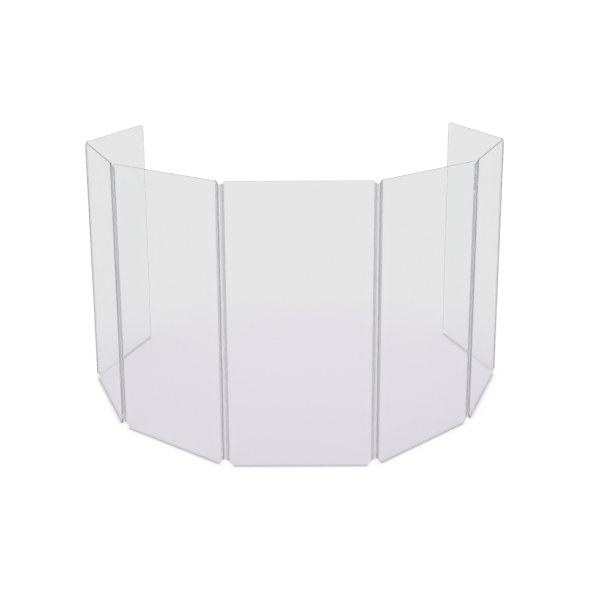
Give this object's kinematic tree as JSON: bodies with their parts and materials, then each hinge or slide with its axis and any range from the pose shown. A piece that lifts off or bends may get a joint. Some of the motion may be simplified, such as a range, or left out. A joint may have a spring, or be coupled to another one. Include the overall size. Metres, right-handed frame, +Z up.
{
  "type": "drum shield",
  "caption": "Free-standing clear acrylic drum shield: tall flat panels joined edge to edge by full-height clear flexible hinge strips, standing in a bow around a drum kit.",
  "frame": {"origin": "middle of the centre panel's foot edge, on the floor, in the mid-plane of its sheet", "axes": "+X to the right as the audience sees the shield, across its width; +Y from the centre panel towards the player; +Z up"},
  "size_m": [2.044, 1.6099, 1.2192],
  "materials": {
    "clear_sheet": "clear cast acrylic sheet, polished faces and flame-polished edges",
    "clear_grip": "clear extruded plastic, slightly hazy",
    "clear_web": "clear flexible extruded plastic, slightly hazy"
  },
  "bodies": {
    "centre": {"centre_panel": "clear_sheet", "left_front_hinge_inner_grip": "clear_grip", "right_front_hinge_inner_grip": "clear_grip"},
    "left_front_web": {"left_front_hinge_web": "clear_web"},
    "left_front": {"left_front_hinge_outer_grip": "clear_grip", "left_front_panel": "clear_sheet", "left_side_hinge_inner_grip": "clear_grip"},
    "left_side_web": {"left_side_hinge_web": "clear_web"},
    "left_side": {"left_side_hinge_outer_grip": "clear_grip", "left_side_panel": "clear_sheet", "left_rear_hinge_inner_grip": "clear_grip"},
    "left_rear_web": {"left_rear_hinge_web": "clear_web"},
    "left_rear": {"left_rear_hinge_outer_grip": "clear_grip", "left_rear_panel": "clear_sheet"},
    "right_front_web": {"right_front_hinge_web": "clear_web"},
    "right_front": {"right_front_hinge_outer_grip": "clear_grip", "right_front_panel": "clear_sheet", "right_side_hinge_inner_grip": "clear_grip"},
    "right_side_web": {"right_side_hinge_web": "clear_web"},
    "right_side": {"right_side_hinge_outer_grip": "clear_grip", "right_side_panel": "clear_sheet", "right_rear_hinge_inner_grip": "clear_grip"},
    "right_rear_web": {"right_rear_hinge_web": "clear_web"},
    "right_rear": {"right_rear_hinge_outer_grip": "clear_grip", "right_rear_panel": "clear_sheet"}
  },
  "joints": [
    {"name": "left_front_fold_inner", "type": "hinge", "parent": "centre", "child": "left_front_web", "pos_m": [-0.3083, 0, 0], "axis": [0, 0, -1], "range_deg": [-109.25, 70.75]},
    {"name": "left_front_fold_outer", "type": "hinge", "parent": "left_front_web", "child": "left_front", "pos_m": [-0.3185, 0.00356, 0], "axis": [0, 0, -1], "range_deg": [-109.25, 70.75]},
    {"name": "left_side_fold_inner", "type": "hinge", "parent": "left_front", "child": "left_side_web", "pos_m": [-0.80105, 0.3874, 0], "axis": [0, 0, 1], "range_deg": [-75, 105]},
    {"name": "left_side_fold_outer", "type": "hinge", "parent": "left_side_web", "child": "left_side", "pos_m": [-0.80748, 0.39609, 0], "axis": [0, 0, 1], "range_deg": [-75, 105]},
    {"name": "left_rear_fold_inner", "type": "hinge", "parent": "left_side", "child": "left_rear_web", "pos_m": [-1.03346, 0.96978, 0], "axis": [0, 0, -1], "range_deg": [-109.75, 70.25]},
    {"name": "left_rear_fold_outer", "type": "hinge", "parent": "left_rear_web", "child": "left_rear", "pos_m": [-1.03379, 0.98057, 0], "axis": [0, 0, -1], "range_deg": [-109.75, 70.25]},
    {"name": "right_front_fold_inner", "type": "hinge", "parent": "centre", "child": "right_front_web", "pos_m": [0.3083, 0, 0], "axis": [0, 0, -1], "range_deg": [-68.5, 111.5]},
    {"name": "right_front_fold_outer", "type": "hinge", "parent": "right_front_web", "child": "right_front", "pos_m": [0.31835, 0.00396, 0], "axis": [0, 0, -1], "range_deg": [-68.5, 111.5]},
    {"name": "right_side_fold_inner", "type": "hinge", "parent": "right_front", "child": "right_side_web", "pos_m": [0.7693, 0.42448, 0], "axis": [0, 0, 1], "range_deg": [-102.75, 77.25]},
    {"name": "right_side_fold_outer", "type": "hinge", "parent": "right_side_web", "child": "right_side", "pos_m": [0.77538, 0.43341, 0], "axis": [0, 0, 1], "range_deg": [-102.75, 77.25]},
    {"name": "right_rear_fold_inner", "type": "hinge", "parent": "right_side", "child": "right_rear_web", "pos_m": [1.00136, 1.0071, 0], "axis": [0, 0, -1], "range_deg": [-70.75, 109.25]},
    {"name": "right_rear_fold_outer", "type": "hinge", "parent": "right_rear_web", "child": "right_rear", "pos_m": [1.00179, 1.01789, 0], "axis": [0, 0, -1], "range_deg": [-70.75, 109.25]}
  ]
}
